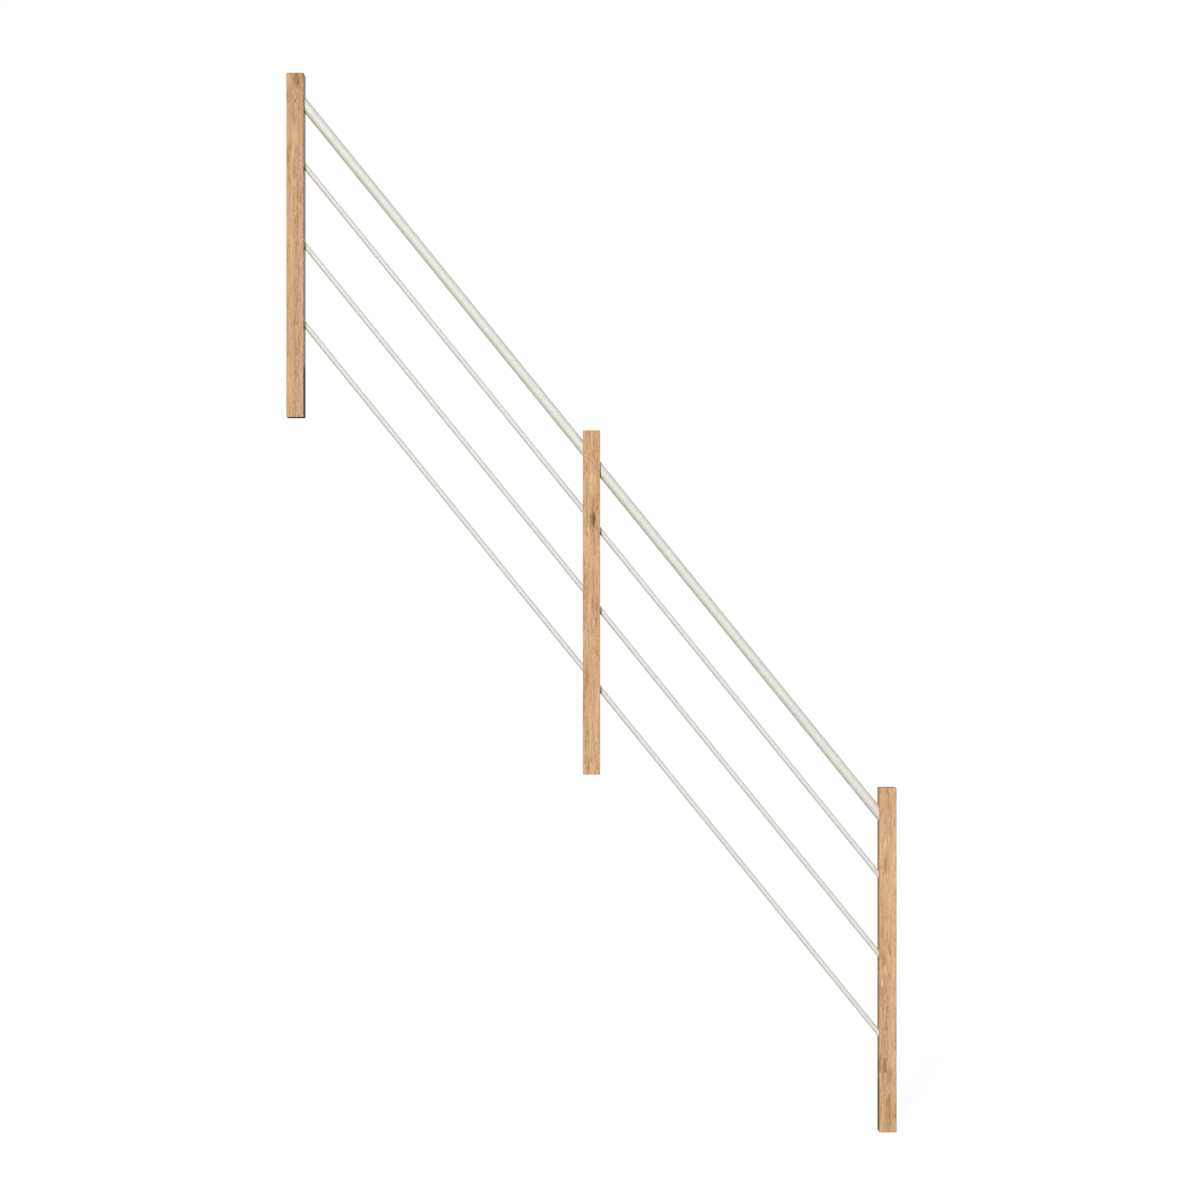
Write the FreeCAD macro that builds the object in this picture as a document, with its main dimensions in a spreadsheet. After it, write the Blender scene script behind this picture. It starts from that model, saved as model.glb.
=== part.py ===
import FreeCAD, Part
import os
import Sketcher

# A stair balustrade panel of two bays. Three square oak posts step down the stair, and in each bay
# a round steel handrail tube and three round steel rods run from post to post. The ends of the bars
# are cut square and sit in blind sockets, drilled into the sides of the posts at the bars' pitch.
#
# X runs down the stair, Y across it and Z up, in millimetres. The origin is the middle of the lower
# post's foot.

SIZES = {
    # The posts: section, height and the radius that eases their long and top edges.
    "post_width": 45,
    "post_depth": 45,
    "post_height": 900,
    "arris_radius": 1.5,
    # From one post to the next: how far along, and how far down.
    "bay_run": 775,
    "bay_rise": 935,
    # Heights of the bars' axes on the upper post's axis: the handrail under the top, the first rod
    # under the handrail, and the lowest rod over the foot. The middle rod is halfway between the rods.
    "handrail_drop": 51,
    "first_rod_spacing": 160.4,
    "lowest_rod_rise": 273.2,
    # The bars are a little steeper than the line of the posts, so they meet each next post lower.
    "drop_gain": 22,
    # The bars.
    "handrail_diameter": 27,
    "handrail_wall": 1.5,
    "rod_diameter": 13.5,
    # The sockets: the wood left between two that meet in the middle post, and the room round a bar
    # and beyond its end.
    "socket_web": 15,
    "socket_clearance": 0.2,
    "socket_end_gap": 0.3,
}

POSTS = ["upper_post", "middle_post", "lower_post"]
BAYS = ["upper", "lower"]

# A bar's fall from post to post, its pitch, and its length from post axis to post axis.
FALL = "(Sizes.bay_rise + Sizes.drop_gain)"
PITCH = f"atan({FALL} / Sizes.bay_run)"
SPAN = f"sqrt(Sizes.bay_run ^ 2 + {FALL} ^ 2)"

# How far each bar's axis lies under the top of the upper post.
HANDRAIL_DROP = "Sizes.handrail_drop"
TOP_ROD_DROP = f"({HANDRAIL_DROP} + Sizes.first_rod_spacing)"
BOTTOM_ROD_DROP = "(Sizes.post_height - Sizes.lowest_rod_rise)"
MIDDLE_ROD_DROP = f"(({TOP_ROD_DROP} + {BOTTOM_ROD_DROP}) / 2)"

# Each bar of a bay: its name, its drop, its diameter, and its wall if it is a tube.
BARS = [
    ("handrail", HANDRAIL_DROP, "handrail_diameter", "handrail_wall"),
    ("top_rod", TOP_ROD_DROP, "rod_diameter", None),
    ("middle_rod", MIDDLE_ROD_DROP, "rod_diameter", None),
    ("bottom_rod", BOTTOM_ROD_DROP, "rod_diameter", None),
]

ACROSS_THE_STAIR = FreeCAD.Vector(0, 1, 0)
ORIGIN_POINT = (-1, 1)
LINE_START = 1
LINE_END = 2
CIRCLE_CENTRE = 3


def write_sizes(doc):
    """The sheet of driving dimensions, each cell named by its alias."""
    sheet = doc.addObject("Spreadsheet::Sheet", "Sizes")
    for row, (name, value) in enumerate(SIZES.items(), start=1):
        sheet.set(f"A{row}", name)
        sheet.set(f"B{row}", str(value))
        sheet.setAlias(f"B{row}", name)
    doc.recompute()


def new_sketch(body, name):
    """An empty sketch on the body's own XY plane."""
    sketch = body.newObject("Sketcher::SketchObject", name)
    for plane in body.Origin.OriginFeatures:
        if plane.Role == "XY_Plane":
            sketch.AttachmentSupport = (plane, [""])
    sketch.MapMode = "FlatFace"
    return sketch


def bind_constraint(sketch, constraint, name, expression):
    """Add a dimension to the sketch and tie it to the sheet."""
    index = sketch.addConstraint(constraint)
    sketch.renameConstraint(index, name)
    sketch.setExpression(f"Constraints.{name}", expression)


def draw_post_section(sketch):
    """A rectangle about the sketch's origin, as wide and as deep as a post."""
    half_width = SIZES["post_width"] / 2
    half_depth = SIZES["post_depth"] / 2
    corners = [
        FreeCAD.Vector(-half_width, -half_depth, 0),
        FreeCAD.Vector(half_width, -half_depth, 0),
        FreeCAD.Vector(half_width, half_depth, 0),
        FreeCAD.Vector(-half_width, half_depth, 0),
    ]
    front, right, back, left = range(4)
    for side in range(4):
        line = Part.LineSegment(corners[side], corners[(side + 1) % 4])
        sketch.addGeometry(line, False)
    for side in range(4):
        corner = Sketcher.Constraint("Coincident", side, LINE_END, (side + 1) % 4, LINE_START)
        sketch.addConstraint(corner)
    for side in (front, back):
        sketch.addConstraint(Sketcher.Constraint("Horizontal", side))
    for side in (right, left):
        sketch.addConstraint(Sketcher.Constraint("Vertical", side))
    centred = Sketcher.Constraint("Symmetric", front, LINE_START, back, LINE_START, *ORIGIN_POINT)
    sketch.addConstraint(centred)
    width = Sketcher.Constraint("DistanceX", front, LINE_START, front, LINE_END, 2 * half_width)
    bind_constraint(sketch, width, "width", "Sizes.post_width")
    depth = Sketcher.Constraint("DistanceY", right, LINE_START, right, LINE_END, 2 * half_depth)
    bind_constraint(sketch, depth, "depth", "Sizes.post_depth")


def draw_circle(sketch, name, diameter, expression):
    """A circle about the sketch's origin."""
    centre = FreeCAD.Vector(0, 0, 0)
    normal = FreeCAD.Vector(0, 0, 1)
    circle = sketch.addGeometry(Part.Circle(centre, normal, diameter / 2), False)
    sketch.addConstraint(Sketcher.Constraint("Coincident", circle, CIRCLE_CENTRE, *ORIGIN_POINT))
    bind_constraint(sketch, Sketcher.Constraint("Diameter", circle, diameter), name, expression)


def pad_sketch(body, sketch, name, length):
    """The solid that the sketch makes over the given length."""
    pad = body.newObject("PartDesign::Pad", name)
    pad.Profile = sketch
    pad.setExpression("Length", length)
    return pad


def make_post_blank(doc, name, steps_up):
    """A post before it is drilled: the foot is sawn sharp, and the other edges are eased."""
    body = doc.addObject("PartDesign::Body", f"{name}_blank")
    sketch = new_sketch(body, f"{name}_section")
    draw_post_section(sketch)
    pad = pad_sketch(body, sketch, f"{name}_length", "Sizes.post_height")
    doc.recompute()
    foot = pad.Shape.BoundBox.ZMin
    eased_edges = []
    for number, edge in enumerate(pad.Shape.Edges, start=1):
        if edge.BoundBox.ZMax > foot + SIZES["arris_radius"]:
            eased_edges.append(f"Edge{number}")
    easing = body.newObject("PartDesign::Fillet", f"{name}_eased_edges")
    easing.Base = (pad, eased_edges)
    easing.setExpression("Radius", "Sizes.arris_radius")
    body.setExpression("Placement.Base.x", f"-{steps_up} * Sizes.bay_run")
    body.setExpression("Placement.Base.z", f"{steps_up} * Sizes.bay_rise")
    return body


def lay_along_bar(item, bay, drop, start):
    """Point the item's own Z down the bar's pitch, from a start measured from the upper post's axis."""
    steps_up = len(BAYS) - bay
    axis_height = f"{steps_up} * Sizes.bay_rise + Sizes.post_height - {drop} - {bay} * Sizes.drop_gain"
    item.Placement = FreeCAD.Placement(FreeCAD.Vector(), FreeCAD.Rotation(ACROSS_THE_STAIR, 90))
    item.setExpression("Placement.Rotation.Angle", f"90 deg + {PITCH}")
    item.setExpression("Placement.Base.x", f"-{steps_up} * Sizes.bay_run + {start} * cos({PITCH})")
    item.setExpression("Placement.Base.z", f"{axis_height} - {start} * sin({PITCH})")


def make_bar(doc, name, bay, drop, diameter, wall):
    """One handrail tube or rod, from the end of one socket to the end of the next."""
    body = doc.addObject("PartDesign::Body", name)
    sketch = new_sketch(body, f"{name}_section")
    draw_circle(sketch, "outside", SIZES[diameter], f"Sizes.{diameter}")
    if wall:
        inside = SIZES[diameter] - 2 * SIZES[wall]
        draw_circle(sketch, "inside", inside, f"Sizes.{diameter} - 2 * Sizes.{wall}")
    pad_sketch(body, sketch, f"{name}_length", f"{SPAN} - Sizes.socket_web - 2 * Sizes.socket_end_gap")
    lay_along_bar(body, bay, drop, "(Sizes.socket_web / 2 + Sizes.socket_end_gap)")
    return body


def make_bore(doc, name, bay, drop, diameter):
    """The round space of a bar and its two sockets, taken out of the posts at its ends."""
    bore = doc.addObject("Part::Cylinder", f"{name}_bore")
    bore.setExpression("Radius", f"Sizes.{diameter} / 2 + Sizes.socket_clearance")
    bore.setExpression("Height", f"{SPAN} - Sizes.socket_web")
    lay_along_bar(bore, bay, drop, "(Sizes.socket_web / 2)")
    return bore


def drill_post(doc, name, blank, bores):
    """The finished post: its blank with the sockets of the bars that end in it."""
    sockets = doc.addObject("Part::Compound", f"{name}_sockets")
    sockets.Links = bores
    post = doc.addObject("Part::Cut", name)
    post.Base = blank
    post.Tool = sockets
    return post


def check_model(doc, pieces):
    """Stop if any object failed, or any piece isn't one sound solid."""
    for item in doc.Objects:
        if "Invalid" in item.State or "Error" in item.State:
            raise RuntimeError(f"{item.Label} failed")
    for piece in pieces:
        shape = piece.Shape
        if shape.isNull() or not shape.isValid() or len(shape.Solids) != 1:
            raise RuntimeError(f"{piece.Label} isn't one sound solid")


def main():
    doc = FreeCAD.newDocument("stair_balustrade_panel")
    write_sizes(doc)

    pieces = []
    bores_at_post = {post: [] for post in POSTS}
    for bay, bay_name in enumerate(BAYS):
        for bar_name, drop, diameter, wall in BARS:
            name = f"{bay_name}_{bar_name}"
            pieces.append(make_bar(doc, name, bay, drop, diameter, wall))
            bore = make_bore(doc, name, bay, drop, diameter)
            bores_at_post[POSTS[bay]].append(bore)
            bores_at_post[POSTS[bay + 1]].append(bore)
    for place, post in enumerate(POSTS):
        blank = make_post_blank(doc, post, len(BAYS) - place)
        pieces.append(drill_post(doc, post, blank, bores_at_post[post]))
    doc.recompute()

    check_model(doc, pieces)
    os.makedirs("parts", exist_ok=True)
    for piece in pieces:
        piece.Shape.exportStep(f"parts/{piece.Label}.step")


main()
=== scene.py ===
import math

import bmesh
import bpy
import numpy as np
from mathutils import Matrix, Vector


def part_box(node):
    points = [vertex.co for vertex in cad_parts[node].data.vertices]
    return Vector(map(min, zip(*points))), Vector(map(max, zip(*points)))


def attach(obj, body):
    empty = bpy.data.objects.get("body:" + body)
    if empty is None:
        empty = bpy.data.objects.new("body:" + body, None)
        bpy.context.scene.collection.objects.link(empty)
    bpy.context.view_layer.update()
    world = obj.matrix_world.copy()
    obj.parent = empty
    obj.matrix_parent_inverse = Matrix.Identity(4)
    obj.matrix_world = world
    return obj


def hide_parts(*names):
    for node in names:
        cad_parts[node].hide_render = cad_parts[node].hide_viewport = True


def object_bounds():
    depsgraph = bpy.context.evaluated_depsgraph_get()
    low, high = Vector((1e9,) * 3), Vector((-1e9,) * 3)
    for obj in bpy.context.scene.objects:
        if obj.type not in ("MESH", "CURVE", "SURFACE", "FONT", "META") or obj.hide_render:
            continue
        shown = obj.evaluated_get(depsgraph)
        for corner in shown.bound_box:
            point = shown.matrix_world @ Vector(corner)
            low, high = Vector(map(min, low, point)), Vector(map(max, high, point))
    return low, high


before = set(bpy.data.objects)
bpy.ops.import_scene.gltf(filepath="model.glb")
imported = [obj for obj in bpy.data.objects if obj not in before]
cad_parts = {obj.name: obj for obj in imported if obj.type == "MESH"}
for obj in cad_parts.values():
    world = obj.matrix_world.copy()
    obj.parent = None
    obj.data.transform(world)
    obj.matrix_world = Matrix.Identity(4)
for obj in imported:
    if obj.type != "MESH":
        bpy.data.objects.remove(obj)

# Looks of a stair balustrade panel: three glued oak posts that step down to the right, and a satin
# steel handrail with three thinner steel rods in each of the two bays. Metres, Z up, X down the stair.

CAD_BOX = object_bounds()
MM = 0.001

POSTS = ["upper_post", "middle_post", "lower_post"]
BAYS = ["upper", "lower"]
BARS = ["handrail", "top_rod", "middle_rod", "bottom_rod"]


# Small helpers

CORNER_DEGREES = 30.0


def linear(hex_colour):
    """An sRGB hex colour as linear red, green and blue, by the standard's own curve, and a full alpha."""
    channels = np.array([int(hex_colour[i:i + 2], 16) for i in (1, 3, 5)]) / 255.0
    low = channels / 12.92
    high = ((channels + 0.055) / 1.055) ** 2.4
    return (*np.where(channels <= 0.04045, low, high).tolist(), 1.0)


def linear_stops(tones):
    """A ramp's stops, with their hex colours turned linear."""
    return [(position, linear(colour)) for position, colour in tones]


def add_node(tree, kind, inputs=None, stops=(), **settings):
    """A node with its settings and its ramp's stops.

    An input is a plain value, a socket to link from, or a node, whose first output is linked.
    """
    node = tree.nodes.new(kind)
    for name, value in settings.items():
        setattr(node, name, value)
    for index, (position, colour) in enumerate(stops):
        elements = node.color_ramp.elements
        element = elements[index] if index < 2 else elements.new(position)
        element.position = position
        element.color = colour
    for name, value in (inputs or {}).items():
        if isinstance(value, bpy.types.Node):
            value = value.outputs[0]
        if isinstance(value, bpy.types.NodeSocket):
            tree.links.new(value, node.inputs[name])
        else:
            node.inputs[name].default_value = value
    return node


def new_material(name):
    """An empty material and its node tree."""
    material = bpy.data.materials.new(name)
    material.use_nodes = True
    material.node_tree.nodes.clear()
    return material, material.node_tree


def new_piece(name, points, faces, material, node):
    """A mesh piece that rides on the panel and stands for a CAD node."""
    mesh = bpy.data.meshes.new(name)
    mesh.from_pydata(points.tolist(), [], faces)
    mesh.materials.append(material)
    piece = bpy.data.objects.new(name, mesh)
    bpy.context.scene.collection.objects.link(piece)
    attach(piece, "root")
    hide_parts(node)
    return piece


def smooth_but_for_corners(mesh):
    """Shade the mesh smooth, and keep the edges that turn by more than the corner angle sharp."""
    mesh.shade_smooth()
    mesh.set_sharp_from_angle(angle=math.radians(CORNER_DEGREES))


def grid_faces(rows, columns):
    """Quads of a grid of points whose columns close into a ring."""
    row, column = np.meshgrid(np.arange(rows - 1), np.arange(columns), indexing="ij")
    here = row * columns + column
    beside = row * columns + (column + 1) % columns
    quads = np.stack([here, beside, beside + columns, here + columns], axis=-1)
    return quads.reshape(-1, 4)


def capped_faces(rows, columns):
    """The grid's quads, and a flat face over each of its two ends."""
    first_end = list(range(columns))[::-1]
    last_end = list(range((rows - 1) * columns, rows * columns))
    return grid_faces(rows, columns).tolist() + [first_end, last_end]


def looped_faces(rows, columns):
    """The grid's quads, and those that join its last row to its first."""
    return (grid_faces(rows + 1, columns) % (rows * columns)).tolist()


# The bars' lines, read from the frame

def box_middle(node):
    """The middle of a CAD node's box."""
    low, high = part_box(node)
    return (low + high) / 2


def bar_line(bay, bar):
    """A bar's middle, direction, length and radius.

    The bars of the two bays lie on one line, so the direction runs from one middle to the other. The
    length follows from the box: its width is length times cosine plus diameter times sine of the pitch.
    """
    node = f"{bay}_{bar}"
    low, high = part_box(node)
    direction = (box_middle(f"lower_{bar}") - box_middle(f"upper_{bar}")).normalized()
    diameter = high.y - low.y
    length = (high.x - low.x - diameter * abs(direction.z)) / direction.x
    return box_middle(node), direction, length, diameter / 2


# Bars

BAR_SIDES = 96
END_BREAK = 0.4 * MM
HANDRAIL_WALL = 1.5 * MM


def turned(middle, direction, profile):
    """A profile turned about the bar's line.

    The profile gives a distance along the line and a radius for each row. A point lies at the middle
    plus along times the direction, plus the radius times a unit vector that goes round it.
    """
    along = np.array([row[0] for row in profile])[:, None, None]
    radius = np.array([row[1] for row in profile])[:, None, None]
    angle = np.linspace(0, 2 * math.pi, BAR_SIDES, endpoint=False)[None, :, None]
    side = np.array([0.0, 1.0, 0.0])
    axis = np.array(direction)
    other = np.cross(axis, side)
    points = np.array(middle) + along * axis + radius * (np.cos(angle) * side + np.sin(angle) * other)
    return points.reshape(-1, 3)


def rod_profile(length, radius):
    """From one end to the other of a solid bar, with its cut edges broken."""
    end = length / 2
    return [
        (-end, radius - END_BREAK),
        (-end + END_BREAK, radius),
        (end - END_BREAK, radius),
        (end, radius - END_BREAK),
    ]


def tube_profile(length, radius):
    """Round the wall of a tube: out along its outside, over the end, and back along its bore."""
    end = length / 2
    bore = radius - HANDRAIL_WALL
    return rod_profile(length, radius) + [(end, bore), (-end, bore)]


def make_bar(bay, bar, steel):
    """One bar of a bay: a tube for the handrail, and solid bar for the rods."""
    middle, direction, length, radius = bar_line(bay, bar)
    if bar == "handrail":
        profile = tube_profile(length, radius)
        faces = looped_faces(len(profile), BAR_SIDES)
    else:
        profile = rod_profile(length, radius)
        faces = capped_faces(len(profile), BAR_SIDES)
    points = turned(middle, direction, profile)
    piece = new_piece(f"{bay}_{bar}_bar", points, faces, steel, f"{bay}_{bar}")
    smooth_but_for_corners(piece.data)


# Posts

ARRIS_RADIUS = 1.5 * MM
ARRIS_STEPS = 6
ARRIS_MARGIN = 0.5 * MM
SOCKET_CLEARANCE = 0.2 * MM
SOCKET_END_GAP = 0.3 * MM
DOUBLES_APART = 0.001 * MM


def post_section(half_width, half_depth, inset):
    """A rectangle with round corners, as a ring of points, drawn in by an inset.

    Each corner is a quarter circle about a centre that stays put, so its radius shrinks with the inset.
    A point on each flat, close to the corner, keeps the flat's shading true.
    """
    radius = ARRIS_RADIUS - inset
    turn = np.linspace(0, math.pi / 2, ARRIS_STEPS + 1)
    ring = []
    for quarter, (sign_x, sign_y) in enumerate([(1, 1), (-1, 1), (-1, -1), (1, -1)]):
        angle = turn + quarter * math.pi / 2
        centre = np.array([sign_x * (half_width - ARRIS_RADIUS), sign_y * (half_depth - ARRIS_RADIUS)])
        outward = np.stack([np.cos(angle), np.sin(angle)], axis=-1)
        onward = np.stack([-np.sin(angle), np.cos(angle)], axis=-1)
        arc = centre + radius * outward
        before = arc[0] - ARRIS_MARGIN * onward[0]
        after = arc[-1] + ARRIS_MARGIN * onward[-1]
        ring += [before, *arc, after]
    return np.array(ring)


def post_blank(low, high):
    """The rounded section carried up the post, and drawn in over a quarter circle at its top."""
    half_width = (high.x - low.x) / 2
    half_depth = (high.y - low.y) / 2
    turn = np.linspace(0, math.pi / 2, ARRIS_STEPS + 1)
    insets = np.concatenate([[0.0, 0.0], ARRIS_RADIUS * (1 - np.cos(turn))])
    shoulder = high.z - ARRIS_RADIUS
    heights = np.concatenate([[low.z, shoulder - ARRIS_MARGIN], shoulder + ARRIS_RADIUS * np.sin(turn)])
    centre = np.array([(low.x + high.x) / 2, (low.y + high.y) / 2])
    rings = []
    for inset, height in zip(insets, heights):
        section = post_section(half_width, half_depth, inset) + centre
        rings.append(np.column_stack([section, np.full(len(section), height)]))
    return np.concatenate(rings), capped_faces(len(rings), len(rings[0]))


def socket_cutter(name, bay, bar):
    """The bar's round space with its clearance, which the drill takes out of the posts."""
    middle, direction, length, radius = bar_line(bay, bar)
    end = length / 2 + SOCKET_END_GAP
    bore = radius + SOCKET_CLEARANCE
    profile = [(-end, bore), (end, bore)]
    points = turned(middle, direction, profile)
    mesh = bpy.data.meshes.new(name)
    mesh.from_pydata(points.tolist(), [], capped_faces(len(profile), BAR_SIDES))
    cutter = bpy.data.objects.new(name, mesh)
    bpy.context.scene.collection.objects.link(cutter)
    return cutter


def merge_doubles(mesh):
    """Close the points where the top's corner arcs have shrunk to one, and drop what that flattens."""
    work = bmesh.new()
    work.from_mesh(mesh)
    bmesh.ops.remove_doubles(work, verts=work.verts, dist=DOUBLES_APART)
    work.to_mesh(mesh)
    work.free()


def make_post(post, timber):
    """A post with eased edges, drilled for the bars of the bays beside it."""
    low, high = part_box(post)
    points, faces = post_blank(low, high)
    piece = new_piece(f"{post}_timber", points, faces, timber, post)
    merge_doubles(piece.data)
    place = POSTS.index(post)
    bays_beside = BAYS[max(place - 1, 0):place + 1]
    cutters = [socket_cutter(f"{bay}_{bar}_socket", bay, bar) for bay in bays_beside for bar in BARS]
    for cutter in cutters:
        drill = piece.modifiers.new(cutter.name, "BOOLEAN")
        drill.operation = "DIFFERENCE"
        drill.solver = "EXACT"
        drill.object = cutter
    bpy.context.view_layer.update()
    drilled = bpy.data.meshes.new_from_object(piece.evaluated_get(bpy.context.evaluated_depsgraph_get()))
    piece.modifiers.clear()
    blank = piece.data
    piece.data = drilled
    bpy.data.meshes.remove(blank)
    for cutter in cutters:
        bpy.data.meshes.remove(cutter.data)
    smooth_but_for_corners(piece.data)


# Oiled oak. Its lengths are in millimetres.

OAK_TONES = [(0.0, "#7D593C"), (0.25, "#B48961"), (0.5, "#D1A881"), (0.75, "#E4BB92"), (1.0, "#F3D4AD")]
OAK_TINTS = [(0.3, "#F3F8FF"), (0.5, "#FFFFFF"), (0.7, "#FFFCEF")]
END_GRAIN = "#E6DACD"
# The dark brown of the shade painted on the sole and sides of each foot.
PAINTED_FOOT_SHADE = "#3A2A19"
MARK_COLOURS = {
    "knot": "#70583F",
    "burr": "#8F6A42",
    "heart": "#9C6138",
    "shade": "#B3835C",
    "olive": "#AE9265",
    "light": "#E3BE8E",
    "fleck": "#F2D3A6",
}

# Patterns drawn out along the grain: the width and length of their lumps, and their levels of detail. Real
# pores and fibres are a few tenths of a millimetre wide or less, and are drawn coarser so that they show.
PORE_PATTERN = (0.9, 14.0, 2.0)
FLECK_PATTERN = (2.6, 9.0, 1.0)
TINT_PATTERN = (9.0, 130.0, 2.0)
RING_WANDER_PATTERN = (20.0, 240.0, 3.0)
MARK_EDGE_PATTERN = (5.0, 22.0, 2.0)
FOOT_SHADE_EDGE_PATTERN = (6.0, 30.0, 3.0)
PATTERN_ROUGHNESS = 0.55

# The tone of the long grain: such patterns, from broad bands to fibres, with their weights.
LONG_GRAIN = [
    ((16.0, 190.0, 2.0), 0.60),
    ((4.0, 110.0, 2.0), 0.68),
    ((3.0, 34.0, 2.0), 0.62),
    ((3.2, 8.0, 1.0), 0.34),
    ((0.7, 45.0, 2.0), 0.36),
]
BLOCK_WEIGHT = 0.12
RING_WEIGHT = 0.16
MIDDLE_TONE = 0.5
END_TONE = 0.18
END_RING_WEIGHT = 0.45

# How far flecks lift the tone, and how far pores, glue lines and darkened joints lower it.
FLECK_LIFT = 0.18
PORE_DROP = 0.17
GLUE_DROP = 0.10
JOINT_DROP = 0.34

# Where a mask is none and where it is all: levels of the pores' and flecks' patterns, shares of a ring, and
# how much of the normal points up or down on a sawn end, or sideways or down for the foot's painted shade.
PORE_LEVELS = (0.58, 0.68)
FLECK_LEVELS = (0.52, 0.72)
EARLY_WOOD = (0.45, 0.05)
END_FACING = (0.6, 0.9)
FOOT_SHADE_FACING = (0.5, 0.95)

# How far early wood lifts the pores' pattern.
EARLY_WOOD_PORES = 0.12

# How far apart the blocks are taken from the log, so that no two have the same grain.
BLOCK_SPREAD = (300.0, 300.0, 9000.0)
GLUE_LINE = 0.25
JOINT_SHADE_LENGTH = 60.0

# The rings. The post's middle lies this far from a block's pith, plus a share of the spread by luck, and a
# full mark pushes the rings this many widths aside.
RING_WIDTH = 3.4
RING_WANDER = 16.0
RING_LEAN_DEGREES = 1.8
FROM_PITH = (-30.0, -95.0, 0.0)
FROM_PITH_SPREAD = (44.0, 50.0, 0.0)
MARK_RING_PUSH = 1.6

# A mark is full near its middle and gone past its rim, in shares of its half size.
MARK_DEPTH = 14.0
MARK_RAGGEDNESS = 0.8
MARK_FULL = 0.35
MARK_GONE = 1.25
KNOT_RINGS = 11.0
KNOT_RING_DEPTH = 0.22

# Painted shade at the foot: how high it reaches, and how soft and ragged its top edge is, in mm.
FOOT_SHADE_HEIGHT = 136.0
FOOT_SHADE_FADE = 24.0
FOOT_SHADE_RAGGEDNESS = 30.0

OAK_ROUGHNESS = 0.72
END_GRAIN_ROUGHER = 0.2
PORES_ROUGHER = 0.08
FOOT_SHADE_ROUGHER = 0.2
OAK_SPECULAR = 0.05
GRAIN_BUMP = 0.3
GRAIN_RELIEF = 0.15

# A mix node's sockets for colours: the share of the second, the two colours, and the result.
MIX_SHARE = 0
MIX_FIRST = 6
MIX_SECOND = 7
MIX_RESULT = 2

# Each post's timber: a seed for its grain, how lively its figure is, how dark the shade painted on its
# foot is, its staves from left to right, and the marks on its front. A stave is the place of its right
# edge, in mm from the post's middle, the height of its end joint above the foot, and how far the wood
# over that joint has darkened. A mark is its colour, its place right of the middle and above the foot,
# its half width and half height, all in mm, and its strength.
TIMBER = {
    "upper_post": {
        "seed": 65.0,
        "figure": 0.70,
        "painted_foot_shade": 0.9,
        "staves": [(-6.5, 610, 0.0), (9.0, 240, 0.1), (22.5, 560, 0.1)],
        "marks": [
            ("light", -8.0, 420, 4.5, 430.0, 0.38),
            ("shade", 7.0, 885, 17.0, 34.0, 0.45),
            ("burr", 4.0, 880, 9.0, 18.0, 0.50),
            ("burr", 4.4, 895, 4.0, 5.0, 0.60),
            ("knot", 8.0, 873, 3.0, 6.0, 0.50),
            ("burr", 1.0, 826, 2.6, 6.0, 0.75),
            ("olive", -3.2, 792, 4.0, 44.0, 0.60),
            ("light", 1.0, 735, 9.0, 26.0, 0.45),
            ("fleck", -3.6, 690, 3.0, 16.0, 0.50),
            ("fleck", -2.4, 612, 3.0, 12.0, 0.50),
            ("heart", 6.5, 500, 6.0, 48.0, 0.22),
            ("heart", 8.5, 600, 3.0, 12.0, 0.35),
            ("shade", -2.0, 330, 18.0, 120.0, 0.12),
        ],
    },
    "middle_post": {
        "seed": 4.0,
        "figure": 0.88,
        "painted_foot_shade": 0.7,
        "staves": [(-5.0, 330, 0.1), (8.0, 820, 0.0), (22.5, 500, 0.1)],
        "marks": [
            ("light", -5.5, 430, 4.5, 440.0, 0.25),
            ("light", 0.5, 875, 3.0, 22.0, 0.60),
            ("shade", -13.0, 803, 2.5, 15.0, 0.70),
            ("shade", 7.5, 829, 2.0, 9.0, 0.70),
            ("light", 1.0, 760, 10.0, 42.0, 0.40),
            ("fleck", -1.6, 773, 3.0, 14.0, 0.55),
            ("fleck", 10.3, 773, 2.6, 10.0, 0.50),
            ("shade", 4.5, 706, 3.2, 26.0, 0.80),
            ("burr", 2.6, 667, 9.5, 23.0, 0.60),
            ("knot", 6.2, 668, 4.2, 21.0, 0.78),
            ("burr", -11.5, 627, 2.8, 6.0, 0.60),
            ("heart", -12.0, 252, 2.6, 30.0, 0.55),
            ("shade", 5.5, 326, 1.8, 14.0, 0.70),
            ("light", 2.0, 140, 20.0, 150.0, 0.16),
            ("burr", -13.0, 88, 2.5, 5.0, 0.60),
        ],
    },
    "lower_post": {
        "seed": 34.0,
        "figure": 0.80,
        "painted_foot_shade": 0.42,
        "staves": [(-3.5, 157, 1.0), (10.0, 480, 0.1), (22.5, 330, 0.0)],
        "marks": [
            ("light", 12.0, 500, 4.5, 420.0, 0.35),
            ("shade", 0.5, 858, 1.8, 18.0, 0.60),
            ("light", 0.0, 700, 22.0, 90.0, 0.20),
            ("heart", -6.8, 700, 4.8, 30.0, 0.52),
            ("shade", -10.5, 450, 5.0, 22.0, 0.50),
            ("fleck", -7.0, 755, 3.0, 12.0, 0.50),
            ("fleck", 3.5, 767, 3.0, 10.0, 0.45),
            ("fleck", -7.0, 424, 3.0, 9.0, 0.70),
            ("fleck", -15.5, 391, 3.0, 10.0, 0.60),
            ("burr", -5.0, 190, 2.2, 6.0, 0.40),
            ("light", -12.5, 106, 9.0, 42.0, 0.25),
            ("light", 16.5, 92, 4.5, 44.0, 0.35),
            ("light", 9.0, 186, 9.0, 30.0, 0.35),
            ("olive", 3.0, 146, 6.0, 26.0, 0.60),
            ("shade", 2.0, 40, 22.0, 70.0, 0.32),
            ("heart", 4.2, 50, 2.8, 60.0, 0.40),
            ("burr", 4.2, 86, 2.6, 12.0, 0.60),
            ("heart", 4.5, 42, 2.6, 6.0, 0.40),
        ],
    },
}


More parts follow.
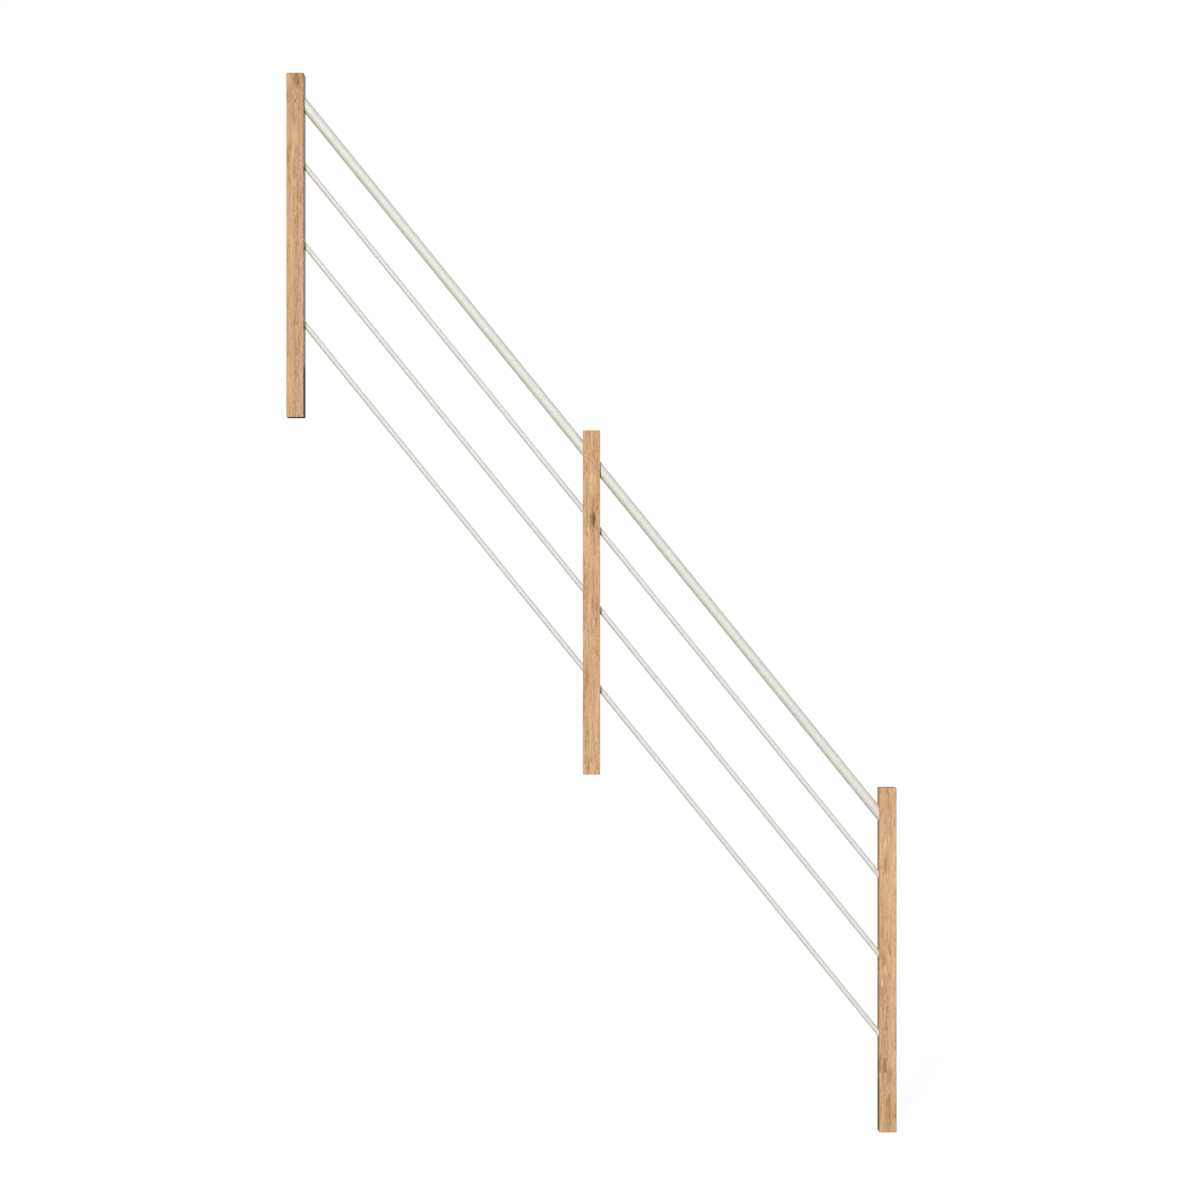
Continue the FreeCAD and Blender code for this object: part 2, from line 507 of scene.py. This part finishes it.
def weigh_in(tree, start, layers):
    """A start value plus each layer times its weight."""
    total = start
    for layer, weight in layers:
        total = add_node(tree, "ShaderNodeMath", {
            0: layer,
            1: weight,
            2: total,
        }, operation="MULTIPLY_ADD")
    return total


def grain_noise(tree, place, pattern):
    """Noise drawn out along the grain, with lumps of the pattern's width and length."""
    across, along, detail = pattern
    stretched = add_node(tree, "ShaderNodeMapping", {
        "Vector": place,
        "Scale": (1 / across, 1 / across, 1 / along),
    })
    return add_node(tree, "ShaderNodeTexNoise", {
        "Vector": stretched,
        "Scale": 1.0,
        "Detail": detail,
        "Roughness": PATTERN_ROUGHNESS,
    })


def stave_blocks(tree, place, size, seed, staves):
    """The lengths that the post is glued up from.

    A ramp across the post holds each stave's joint height, number and shade as its red, green and blue.
    It gives each block's luck, the glue lines, and the shade that fades out above a joint.
    """
    axes = add_node(tree, "ShaderNodeSeparateXYZ", {0: place})
    share_across = add_node(tree, "ShaderNodeMapRange", {
        "Value": axes.outputs["X"],
        "From Min": -size.x / 2,
        "From Max": size.x / 2,
    })
    left_edges = [-size.x / 2] + [edge for edge, _, _ in staves[:-1]]
    stops = []
    for number, (left, (_, joint, shade)) in enumerate(zip(left_edges, staves)):
        stops.append((left / size.x + 0.5, (joint / size.z, number / len(staves), shade, 1)))
    stave = add_node(tree, "ShaderNodeValToRGB", {0: share_across}, stops)
    stave.color_ramp.interpolation = "CONSTANT"
    facts = add_node(tree, "ShaderNodeSeparateColor", {0: stave})
    share_up = add_node(tree, "ShaderNodeMath", {0: axes.outputs["Z"], 1: size.z}, operation="DIVIDE")
    over_joint = add_node(tree, "ShaderNodeMath", {
        0: share_up,
        1: facts.outputs["Red"],
    }, operation="SUBTRACT")
    is_above = add_node(tree, "ShaderNodeMath", {0: over_joint, 1: 0.0}, operation="GREATER_THAN")
    fading = add_node(tree, "ShaderNodeMapRange", {
        "Value": over_joint,
        "From Min": JOINT_SHADE_LENGTH / size.z,
        "From Max": 0.0,
        "To Max": is_above,
    }, interpolation_type="SMOOTHSTEP")
    joint_shade = add_node(tree, "ShaderNodeMath", {
        0: fading,
        1: facts.outputs["Blue"],
    }, operation="MULTIPLY")
    block = add_node(tree, "ShaderNodeCombineXYZ", {
        0: facts.outputs["Green"],
        1: is_above,
        2: seed,
    })
    luck = add_node(tree, "ShaderNodeTexWhiteNoise", {"Vector": block}, noise_dimensions="3D")
    lines = []
    for edge, _, _ in staves[:-1]:
        lines.append(add_node(tree, "ShaderNodeMath", {
            0: axes.outputs["X"],
            1: edge,
            2: GLUE_LINE,
        }, operation="COMPARE"))
    glue = weigh_in(tree, 0.0, [(line, 1.0) for line in lines])
    return luck, glue, joint_shade


def knot_rings(tree, mask, away):
    """A knot's mask made stronger and weaker in rings, by the sine of the distance from its middle."""
    turn = add_node(tree, "ShaderNodeMath", {0: away, 1: KNOT_RINGS}, operation="MULTIPLY")
    wave = add_node(tree, "ShaderNodeMath", {0: turn}, operation="SINE")
    depth = weigh_in(tree, 1.0, [(wave, KNOT_RING_DEPTH)])
    return add_node(tree, "ShaderNodeMath", {0: mask, 1: depth}, operation="MULTIPLY")


def mark_masks(tree, place, size, marks):
    """A soft ragged mask round each mark on the front face.

    It fades with the distance from the mark's middle, in half sizes, which noise makes uneven.
    """
    ragged = grain_noise(tree, place, MARK_EDGE_PATTERN).outputs["Color"]
    masks = []
    for colour, right, up, half_width, half_height, strength in marks:
        spread = Vector((1 / half_width, 1 / MARK_DEPTH, 1 / half_height))
        centre = Vector((right, -size.y / 2, up))
        centred = add_node(tree, "ShaderNodeMapping", {
            "Vector": place,
            "Location": -centre * spread - Vector((MARK_RAGGEDNESS / 2,) * 3),
            "Scale": spread,
        })
        roughened = add_node(tree, "ShaderNodeVectorMath", {
            0: ragged,
            1: (MARK_RAGGEDNESS,) * 3,
            2: centred,
        }, operation="MULTIPLY_ADD")
        away = add_node(tree, "ShaderNodeVectorMath", {0: roughened}, operation="LENGTH").outputs["Value"]
        mask = add_node(tree, "ShaderNodeMapRange", {
            "Value": away,
            "From Min": MARK_GONE,
            "From Max": MARK_FULL,
            "To Max": strength,
        }, interpolation_type="SMOOTHSTEP")
        masks.append(knot_rings(tree, mask, away) if colour == "knot" else mask)
    return masks


def growth_rings(tree, place, timber, luck, masks):
    """Rings about a pith that lies behind the post, leans a little and wanders.

    The distance from the pith, in ring widths, goes from early wood to late wood in each ring. Marks
    push the rings aside.
    """
    wander = grain_noise(tree, timber, RING_WANDER_PATTERN)
    bent = add_node(tree, "ShaderNodeVectorMath", {
        0: wander.outputs["Color"],
        1: (RING_WANDER, RING_WANDER, 0.0),
        2: place,
    }, operation="MULTIPLY_ADD")
    middle = add_node(tree, "ShaderNodeVectorMath", {
        0: luck.outputs["Color"],
        1: FROM_PITH_SPREAD,
        2: FROM_PITH,
    }, operation="MULTIPLY_ADD")
    from_pith = add_node(tree, "ShaderNodeVectorMath", {0: bent, 1: middle}, operation="ADD")
    leaning = add_node(tree, "ShaderNodeVectorRotate", {
        "Vector": from_pith,
        "Angle": math.radians(RING_LEAN_DEGREES),
    }, rotation_type="X_AXIS")
    level = add_node(tree, "ShaderNodeVectorMath", {0: leaning, 1: (1.0, 1.0, 0.0)}, operation="MULTIPLY")
    radius = add_node(tree, "ShaderNodeVectorMath", {0: level}, operation="LENGTH").outputs["Value"]
    push = weigh_in(tree, 0.0, [(mask, MARK_RING_PUSH) for mask in masks])
    count = weigh_in(tree, push, [(radius, 1 / RING_WIDTH)])
    return add_node(tree, "ShaderNodeMath", {0: count}, operation="FRACT")


def pore_mask(tree, timber, ring):
    """Short dark pore lines, with more of them in each ring's early wood."""
    early_wood = add_node(tree, "ShaderNodeMapRange", {
        "Value": ring,
        "From Min": EARLY_WOOD[0],
        "From Max": EARLY_WOOD[1],
    })
    noise = grain_noise(tree, timber, PORE_PATTERN)
    return add_node(tree, "ShaderNodeMapRange", {
        "Value": weigh_in(tree, noise, [(early_wood, EARLY_WOOD_PORES)]),
        "From Min": PORE_LEVELS[0],
        "From Max": PORE_LEVELS[1],
    })


def fleck_mask(tree, timber):
    """Pale ray flecks, scattered through the wood."""
    return add_node(tree, "ShaderNodeMapRange", {
        "Value": grain_noise(tree, timber, FLECK_PATTERN),
        "From Min": FLECK_LEVELS[0],
        "From Max": FLECK_LEVELS[1],
    })


def end_grain_mask(tree, normal):
    """One on the sawn ends, where the open pores drink the oil and look darker and duller."""
    facing = add_node(tree, "ShaderNodeSeparateXYZ", {0: normal})
    upright = add_node(tree, "ShaderNodeMath", {0: facing.outputs["Z"]}, operation="ABSOLUTE")
    return add_node(tree, "ShaderNodeMapRange", {
        "Value": upright,
        "From Min": END_FACING[0],
        "From Max": END_FACING[1],
    })


def painted_foot_shade_mask(tree, place, normal, strength):
    """Painted shade: a dark patch on the sole and the two sides of the foot, ragged at its top."""
    axes = add_node(tree, "ShaderNodeSeparateXYZ", {0: place})
    ragged = grain_noise(tree, place, FOOT_SHADE_EDGE_PATTERN)
    height = weigh_in(tree, axes.outputs["Z"], [(ragged, FOOT_SHADE_RAGGEDNESS)])
    low = add_node(tree, "ShaderNodeMapRange", {
        "Value": height,
        "From Min": FOOT_SHADE_HEIGHT + FOOT_SHADE_FADE,
        "From Max": FOOT_SHADE_HEIGHT,
        "To Max": strength,
    }, interpolation_type="SMOOTHSTEP")
    facing = add_node(tree, "ShaderNodeSeparateXYZ", {0: normal})
    sideways = add_node(tree, "ShaderNodeMath", {0: facing.outputs["X"]}, operation="ABSOLUTE")
    down = add_node(tree, "ShaderNodeMath", {0: facing.outputs["Z"], 1: -1.0}, operation="MULTIPLY")
    turned_away = add_node(tree, "ShaderNodeMath", {0: sideways, 1: down}, operation="MAXIMUM")
    stained_face = add_node(tree, "ShaderNodeMapRange", {
        "Value": turned_away,
        "From Min": FOOT_SHADE_FACING[0],
        "From Max": FOOT_SHADE_FACING[1],
    }, interpolation_type="SMOOTHSTEP")
    return add_node(tree, "ShaderNodeMath", {0: low, 1: stained_face}, operation="MULTIPLY")


def long_grain_tone(tree, timber, luck, ring, figure):
    """The tone of the planed faces: its layers, spread about the middle tone as far as the figure asks."""
    patterns = [(grain_noise(tree, timber, pattern), weight) for pattern, weight in LONG_GRAIN]
    layers = [(luck, BLOCK_WEIGHT), *patterns, (ring, RING_WEIGHT)]
    start = MIDDLE_TONE - figure * sum(weight for _, weight in layers) / 2
    return weigh_in(tree, start, [(layer, figure * weight) for layer, weight in layers])


def oak(post):
    """Oiled oak, glued up from staves and planed.

    It gives the eye a warm matt brown, long fibre streaks, darker pore lines in each ring's early wood,
    pale ray flecks, a step of shade where two staves meet, and a few knots.
    """
    facts = TIMBER[post]
    low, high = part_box(post)
    foot = Vector(((low.x + high.x) / 2, (low.y + high.y) / 2, low.z)) / MM
    size = (high - low) / MM
    material, tree = new_material(f"oiled_oak_{post}")
    coordinate = add_node(tree, "ShaderNodeTexCoord")
    normal = coordinate.outputs["Normal"]
    place = add_node(tree, "ShaderNodeMapping", {
        "Vector": coordinate.outputs["Object"],
        "Location": -foot,
        "Scale": (1 / MM, 1 / MM, 1 / MM),
    })
    luck, glue, joint_shade = stave_blocks(tree, place, size, facts["seed"], facts["staves"])
    timber = add_node(tree, "ShaderNodeVectorMath", {
        0: luck.outputs["Color"],
        1: BLOCK_SPREAD,
        2: place,
    }, operation="MULTIPLY_ADD")
    masks = mark_masks(tree, place, size, facts["marks"])
    ring = growth_rings(tree, place, timber, luck, masks)
    pores = pore_mask(tree, timber, ring)
    flecks = fleck_mask(tree, timber)
    end_grain = end_grain_mask(tree, normal)
    # A mask of painted shade on the foot's sole and sides.
    painted_foot_shade = painted_foot_shade_mask(tree, place, normal, facts["painted_foot_shade"])

    long_tone = long_grain_tone(tree, timber, luck, ring, facts["figure"])
    end_tone = weigh_in(tree, END_TONE, [(luck, BLOCK_WEIGHT), (ring, END_RING_WEIGHT)])
    face_tone = add_node(tree, "ShaderNodeMix", {"Factor": end_grain, "A": long_tone, "B": end_tone})
    tone = weigh_in(tree, face_tone, [
        (flecks, FLECK_LIFT),
        (pores, -PORE_DROP),
        (glue, -GLUE_DROP),
        (joint_shade, -JOINT_DROP),
    ])
    brown = add_node(tree, "ShaderNodeValToRGB", {0: tone}, linear_stops(OAK_TONES))
    drift = grain_noise(tree, timber, TINT_PATTERN)
    tint = add_node(tree, "ShaderNodeValToRGB", {0: drift}, linear_stops(OAK_TINTS))
    coats = [(1.0, tint, "MULTIPLY")]
    for mask, (mark_colour, *_) in zip(masks, facts["marks"]):
        coats.append((mask, linear(MARK_COLOURS[mark_colour]), "MIX"))
    coats.append((end_grain, linear(END_GRAIN), "MULTIPLY"))
    # Painted shade darkens the foot's sole and sides, last of all.
    coats.append((painted_foot_shade, linear(PAINTED_FOOT_SHADE), "MIX"))
    colour = brown
    for share, coat, blend in coats:
        colour = add_node(tree, "ShaderNodeMix", {
            MIX_SHARE: share,
            MIX_FIRST: colour,
            MIX_SECOND: coat,
        }, data_type="RGBA", blend_type=blend).outputs[MIX_RESULT]

    # The painted shade at the foot is rougher too, so that it keeps no sheen.
    roughness = weigh_in(tree, OAK_ROUGHNESS, [
        (end_grain, END_GRAIN_ROUGHER),
        (pores, PORES_ROUGHER),
        (painted_foot_shade, FOOT_SHADE_ROUGHER),
    ])
    bump = add_node(tree, "ShaderNodeBump", {
        "Height": tone,
        "Strength": GRAIN_BUMP,
        "Distance": GRAIN_RELIEF * MM,
    })
    surface = add_node(tree, "ShaderNodeBsdfPrincipled", {
        "Base Color": colour,
        "Roughness": roughness,
        "Specular IOR Level": OAK_SPECULAR,
        "Normal": bump,
    })
    add_node(tree, "ShaderNodeOutputMaterial", {"Surface": surface})
    return material


# Satin-ground stainless steel. The tube is a shade warmer than the rods.

STEEL_TONES = {
    "tube": [(0.3, "#D6D5CD"), (0.7, "#E8E7DF")],
    "rod": [(0.3, "#D5D5CF"), (0.7, "#E8E8E2")],
}
GRINDING_MARK_WIDTH = 1.2 * MM
GRINDING_MARK_LENGTH = 30 * MM
GRINDING_MARK_DETAIL = 4.0
STEEL_ROUGHNESS = (0.66, 0.82)
STEEL_METALLIC = 0.25
STEEL_SPECULAR = 0.1


def satin_steel(stock):
    """Stainless steel ground round the bar with a fine belt.

    It gives the eye a pale, slightly warm grey with a broad soft highlight along the bar and faint marks
    across it. The ground surface spreads the light so widely that it looks more matt than mirrored, so
    only a part of it is set as metal. The real marks are far finer, so they are drawn about a millimetre
    wide to show close up.
    """
    direction = bar_line("upper", "handrail")[1]
    material, tree = new_material(f"satin_ground_stainless_steel_{stock}")
    coordinate = add_node(tree, "ShaderNodeTexCoord")
    along_bar = add_node(tree, "ShaderNodeVectorRotate", {
        "Vector": coordinate.outputs["Object"],
        "Angle": math.atan2(direction.z, direction.x),
    }, rotation_type="Y_AXIS")
    stretched = add_node(tree, "ShaderNodeMapping", {
        "Vector": along_bar,
        "Scale": (1 / GRINDING_MARK_WIDTH, 1 / GRINDING_MARK_LENGTH, 1 / GRINDING_MARK_LENGTH),
    })
    marks = add_node(tree, "ShaderNodeTexNoise", {
        "Vector": stretched,
        "Scale": 1.0,
        "Detail": GRINDING_MARK_DETAIL,
    })
    tone = add_node(tree, "ShaderNodeValToRGB", {0: marks}, linear_stops(STEEL_TONES[stock]))
    roughness = add_node(tree, "ShaderNodeMapRange", {
        "Value": marks,
        "To Min": STEEL_ROUGHNESS[0],
        "To Max": STEEL_ROUGHNESS[1],
    })
    surface = add_node(tree, "ShaderNodeBsdfPrincipled", {
        "Base Color": tone,
        "Metallic": STEEL_METALLIC,
        "Roughness": roughness,
        "Specular IOR Level": STEEL_SPECULAR,
    })
    add_node(tree, "ShaderNodeOutputMaterial", {"Surface": surface})
    return material


# Studio: a white room, a key lamp at the front left, a weak cool one at the front right, one behind, and
# the photograph's camera

WHITE = linear("#FFFFFF")
FLOOR_GREY = linear("#747474")
FLOOR_HALF = 30.0
FLOOR_GLOW = 0.91
ROOM_LIGHT = 0.226

# Each lamp: its colour, its share of the light on a face square to the panel, how far it stands round to
# the left from the front (or to the right, where that is negative), how high, and how wide it looks, in
# degrees.
LAMPS = {
    "key": ("#FFFDF4", 0.80, 16.0, 18.0, 8.0),
    "fill": ("#9ABAFF", 0.10, -35.0, 38.0, 25.0),
    "back": ("#F2F6FF", 0.50, 184.0, 10.0, 20.0),
}

# The photograph: its side, where the panel's centre falls from its left and top, how far the camera stands
# from the front faces, all in its pixels, and the length on the front faces that a pixel covers.
IMAGE_SIDE_PX = 1200.0
PANEL_CENTRE_PX = (591.47, 602.5)
CAMERA_DISTANCE_PX = 2290.0
FRONT_FACE_SCALE = 2.6132 * MM
SENSOR_WIDTH_MM = 36.0


def seen_directly(tree):
    """One for what the camera sees straight, mirrored or through glass, and zero for light that falls."""
    path = add_node(tree, "ShaderNodeLightPath")
    seen = path.outputs["Is Camera Ray"]
    for ray in ("Is Glossy Ray", "Is Transmission Ray"):
        seen = add_node(tree, "ShaderNodeMath", {0: seen, 1: path.outputs[ray]}, operation="MAXIMUM")
    return seen


def white_room():
    """A room that looks white and lights the panel softly from all round."""
    world = bpy.data.worlds.new("white_room")
    world.use_nodes = True
    tree = world.node_tree
    tree.nodes.clear()
    light = add_node(tree, "ShaderNodeBackground", {"Color": WHITE, "Strength": ROOM_LIGHT})
    white = add_node(tree, "ShaderNodeBackground", {"Color": WHITE, "Strength": 1.0})
    shown = add_node(tree, "ShaderNodeMixShader", {0: seen_directly(tree), 1: light, 2: white})
    add_node(tree, "ShaderNodeOutputWorld", {"Surface": shown})
    bpy.context.scene.world = world


def pale_floor():
    """A floor under the lower post's foot, white to the eye, that keeps a faint shadow."""
    material, tree = new_material("white_floor")
    glow = add_node(tree, "ShaderNodeMath", {0: seen_directly(tree), 1: FLOOR_GLOW}, operation="MULTIPLY")
    white = add_node(tree, "ShaderNodeEmission", {"Color": WHITE, "Strength": glow})
    lit = add_node(tree, "ShaderNodeBsdfDiffuse", {"Color": FLOOR_GREY})
    both = add_node(tree, "ShaderNodeAddShader", {0: lit, 1: white})
    add_node(tree, "ShaderNodeOutputMaterial", {"Surface": both})
    corners = np.array([[-1, -1, 0], [1, -1, 0], [1, 1, 0], [-1, 1, 0]]) * FLOOR_HALF
    mesh = bpy.data.meshes.new("floor")
    mesh.from_pydata(corners.tolist(), [], [[0, 1, 2, 3]])
    mesh.materials.append(material)
    floor = bpy.data.objects.new("floor", mesh)
    bpy.context.scene.collection.objects.link(floor)


def lamp(name, colour, share, left_degrees, up_degrees, spread_degrees):
    """A soft far lamp. A face square to the panel, on the lamp's side, gets the share of full light."""
    light = bpy.data.lights.new(name, "SUN")
    left = math.radians(left_degrees)
    up = math.radians(up_degrees)
    towards = Vector((-math.sin(left) * math.cos(up), -math.cos(left) * math.cos(up), math.sin(up)))
    light.color = linear(colour)[:3]
    light.energy = share * math.pi / abs(towards.y)
    light.angle = math.radians(spread_degrees)
    stand = bpy.data.objects.new(name, light)
    stand.rotation_euler = towards.to_track_quat("Z", "Y").to_euler()
    bpy.context.scene.collection.objects.link(stand)


def photo_camera():
    """A level camera square to the panel. Its shift puts the panel's centre where the photograph has it."""
    data = bpy.data.cameras.new("photo_camera")
    data.sensor_width = SENSOR_WIDTH_MM
    data.lens = SENSOR_WIDTH_MM * CAMERA_DISTANCE_PX / IMAGE_SIDE_PX
    data.shift_x = (IMAGE_SIDE_PX / 2 - PANEL_CENTRE_PX[0]) / IMAGE_SIDE_PX
    data.shift_y = (PANEL_CENTRE_PX[1] - IMAGE_SIDE_PX / 2) / IMAGE_SIDE_PX
    camera = bpy.data.objects.new("photo_camera", data)
    panel_centre = (Vector(CAD_BOX[0]) + Vector(CAD_BOX[1])) / 2
    front = CAD_BOX[0][1]
    camera.location = (panel_centre.x, front - CAMERA_DISTANCE_PX * FRONT_FACE_SCALE, panel_centre.z)
    camera.rotation_euler = (math.pi / 2, 0, 0)
    bpy.context.scene.collection.objects.link(camera)
    bpy.context.scene.camera = camera


def main():
    """Makes the bars, the posts and the studio."""
    steel = {stock: satin_steel(stock) for stock in STEEL_TONES}
    for bay in BAYS:
        for bar in BARS:
            make_bar(bay, bar, steel["tube" if bar == "handrail" else "rod"])
    for post in POSTS:
        make_post(post, oak(post))
    white_room()
    pale_floor()
    for name, settings in LAMPS.items():
        lamp(name, *settings)
    photo_camera()
    bpy.context.scene.view_settings.view_transform = "Standard"


main()
